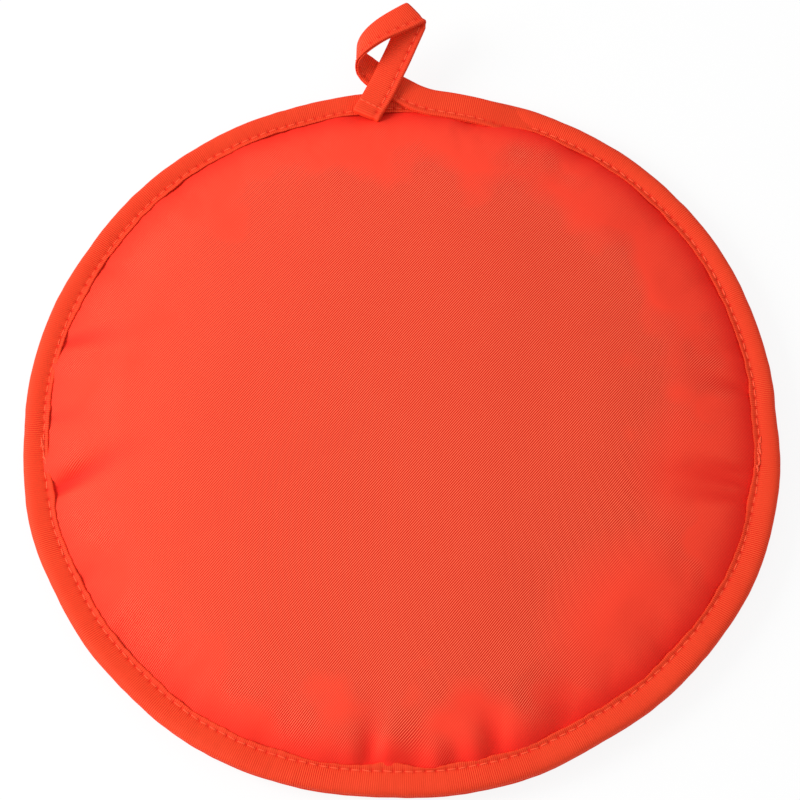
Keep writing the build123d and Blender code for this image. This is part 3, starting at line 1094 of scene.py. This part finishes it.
def strap_frames(route):
    """Place, width direction, face direction and distance at each step of a strap."""
    places = [Vector(place) * mm for place, _, _ in route]
    places = [places[0] * 2 - places[1]] + places + [places[-1] * 2 - places[-2]]
    run = []
    for number in range(len(route) - 1):
        before, here, there, after = places[number : number + 4]
        leap = (there - here).length / 3
        first = here + (there - before).normalized() * leap
        second = there - (after - here).normalized() * leap
        for step, point in enumerate(interpolate_bezier(here, first, second, there, strap_points)):
            share = step / (strap_points - 1)
            turned, climb = (
                math.radians(route[number][k] * (1 - share) + route[number + 1][k] * share)
                for k in (1, 2)
            )
            flat = math.cos(climb)
            width = (math.cos(turned) * flat, math.sin(turned) * flat, math.sin(climb))
            if step or not run:
                run.append((point, Vector(width)))
    frames = []
    gone = 0.0
    for number, (point, width) in enumerate(run):
        before, after = run[max(0, number - 1)][0], run[min(len(run) - 1, number + 1)][0]
        gone += (point - before).length
        frames.append((point, width, width.cross(after - before).normalized(), gone))
    return frames


def make_strap(name, route, *nodes):
    """Strap of folded tape along a route, with closed ends."""
    frames = strap_frames(route)
    rows = len(strap_section)
    bm = bmesh.new()
    bmesh.ops.create_grid(bm, x_segments=len(frames) - 1, y_segments=rows, size=0.5)
    cut = bm.loops.layers.uv.new("flat_cut")
    stitch_shade_layer = bm.verts.layers.float.new("stitch_shade")
    for vert in bm.verts:
        vert.co = (round((vert.co.x + 0.5) * (len(frames) - 1)), round((vert.co.y + 0.5) * rows), 0)
    for face in bm.faces:
        for loop in face.loops:
            row = loop.vert.co.y
            loop[cut].uv = (frames[round(loop.vert.co.x)][3], row * section_step)
    for vert in bm.verts:
        spot, width, face, gone = frames[round(vert.co.x)]
        x, y = strap_section[round(vert.co.y) % rows]
        valley = math.exp(-(((x - open_edge_row) / 0.7) ** 2))
        hole = max(0.0, math.cos(turn * gone / strap_pitch)) ** 3
        y -= math.copysign(leaf_sink * valley * hole, y)
        y += 0.12 * noise.noise(Vector((gone * 90, y, 2.0)))
        x += 0.18 * noise.noise(Vector((gone * 70, y * 0.2, 6.0)))
        # painted shade along the stitch row and at its needle holes
        vert[stitch_shade_layer] = valley * (0.25 + hole) * soft_step(abs(x), 6.5, 5.5)
        vert.co = spot + width * (x * mm) + face * (y * mm)
    bmesh.ops.remove_doubles(bm, verts=bm.verts, dist=0.001 * mm)
    bmesh.ops.holes_fill(bm, edges=[edge for edge in bm.edges if edge.is_boundary], sides=0)
    bmesh.ops.recalc_face_normals(bm, faces=bm.faces)
    return make_piece(name, bm, grosgrain, "tape", *nodes)


def swing_rear(piece):
    """Bakes the placement of the strap that leaves the rim into its mesh."""
    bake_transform(piece)


def swing_front(piece):
    """Bakes the placement of the leg that is sewn on the band into its mesh."""
    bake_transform(piece)


swing_rear(make_strap("loop_rear_strap", rear_route, "loop_tail", "hanging_loop"))
swing_front(make_strap("loop_front_strap", front_route, "loop_sewn_end", "hanging_loop"))

# ---------------------------------------------------------------- loop stitching
# Top stitching along the strap's open edge, on both of its faces, and the row that
# holds its turned-under end.

# how high the strap's face is in the valley of the stitches, in millimetres
leaf_valley = 0.52


def sew_strap(bm, route, first, last, lift):
    """Stitches on both faces along the strap's open edge, between two distances."""
    due = first
    frames = strap_frames(route)
    for (here, width, face, gone), (there, _, _, after) in zip(frames, frames[1:]):
        if after < due or due > last:
            continue
        spot = here.lerp(there, (due - gone) / (after - gone)) + width * (open_edge_row * mm)
        for way in (1, -1):
            middle = spot + face * (way * (leaf_valley + lift) * mm)
            add_stitch(bm, middle, there - here, face * way)
        due += strap_pitch


# the rear strap's two runs, before and after the loop leaves the rim: from where to
# where along it, and how much the thread stands out of the valley, in millimetres
rear_runs = (
    (5.5 * strap_pitch, 16 * strap_pitch, -0.10),
    (16.5 * strap_pitch, 118 * mm, -0.24),
)
rear_thread_bm = bmesh.new()
for first, last, lift in rear_runs:
    sew_strap(rear_thread_bm, rear_route, first, last, lift)
rear_thread = make_piece(
    "loop_rear_thread",
    rear_thread_bm,
    sewing_thread,
    "thread",
    "loop_tail_stitching",
    "loop_top_stitching",
)
swing_rear(rear_thread)

front_thread_bm = bmesh.new()
sew_strap(front_thread_bm, front_route, 0.5 * strap_pitch, 42 * mm, 0.06)
leg_end = Vector((-12.4, 143.9, 14.83)) * mm
leg_turn = math.radians(152)
leg_width = Vector((math.cos(leg_turn), math.sin(leg_turn), 0))
for across in (-4.2, -1.4, 1.4, 4.2):
    middle = leg_end + leg_width * (across * mm)
    add_stitch(front_thread_bm, middle, leg_width, Vector((0, 0, 1)), short_stitch)
front_thread = make_piece(
    "loop_front_thread",
    front_thread_bm,
    sewing_thread,
    "thread",
    "loop_end_stitching",
    "loop_top_stitching",
)
swing_front(front_thread)

# ---------------------------------------------------------------- stage and camera
# White table, white room, one large lamp from the left and a soft fill.  The camera
# looks down on the pouch from the mouth's side, tilted from straight above.
table_size = 12
table_paint = (0.92, 0.92, 0.92, 1)
table_glow = 0.88
room_glow, room_light = 0.38, 0.62

table_material = bpy.data.materials.new("white_table")
table_material.use_nodes = True
table_white = Shading(table_material.node_tree)
table_white.tree.nodes.remove(table_white.tree.nodes["Principled BSDF"])
in_view = table_white.node("ShaderNodeLightPath", output="Is Camera Ray")
in_gloss = table_white.node("ShaderNodeLightPath", output="Is Glossy Ray")
matt = table_white.node("ShaderNodeBsdfDiffuse", None, {"Color": table_paint})
glow = table_white.node("ShaderNodeEmission")
glowing = (in_view * table_glow + in_gloss).kept(0.0, 1.0)
surface = table_white.node("ShaderNodeMixShader", None, {0: glowing, 1: matt, 2: glow})
table_white.link(table_white.tree.nodes["Material Output"].inputs["Surface"], surface)

table_bm = bmesh.new()
bmesh.ops.create_grid(table_bm, x_segments=1, y_segments=1, size=table_size / 2)
table_mesh = bpy.data.meshes.new("white_table")
table_bm.to_mesh(table_mesh)
table_bm.free()
table_mesh.materials.append(table_material)
table = bpy.data.objects.new("white_table", table_mesh)
bpy.context.scene.collection.objects.link(table)

room = bpy.data.worlds.new("white_room")
room.use_nodes = True
bpy.context.scene.world = room
air = Shading(room.node_tree)
in_view = air.node("ShaderNodeLightPath", output="Is Camera Ray")
background = air.tree.nodes["Background"]
air.link(background.inputs["Color"], (1, 1, 1, 1))
air.link(background.inputs["Strength"], in_view * room_glow + room_light)

# name, watts, side in metres, and place; both face the pouch
for name, power, size, spot in (
    ("key_lamp", 17.5, 0.75, (-1.12, 0.08, 0.80)),
    ("fill_lamp", 1.5, 1.6, (0.1, -1.2, 1.9)),
):
    lamp = bpy.data.objects.new(name, bpy.data.lights.new(name, "AREA"))
    lamp.data.energy = power
    lamp.data.size = size
    lamp.location = spot
    lamp.rotation_euler = (-Vector(spot)).to_track_quat("-Z", "Y").to_euler()
    bpy.context.scene.collection.objects.link(lamp)

target = Vector((-0.4, 12.7, 8.0)) * mm
tilt = math.radians(21.5)
far = 1.1
camera = bpy.data.objects.new("camera", bpy.data.cameras.new("camera"))
camera.data.lens = 121.95
camera.data.sensor_width = 36
camera.location = target + far * Vector((0, -math.sin(tilt), math.cos(tilt)))
camera.rotation_euler = Euler((tilt, 0, 0))
bpy.context.scene.collection.objects.link(camera)
bpy.context.scene.camera = camera
bpy.context.scene.view_settings.view_transform = "Standard"
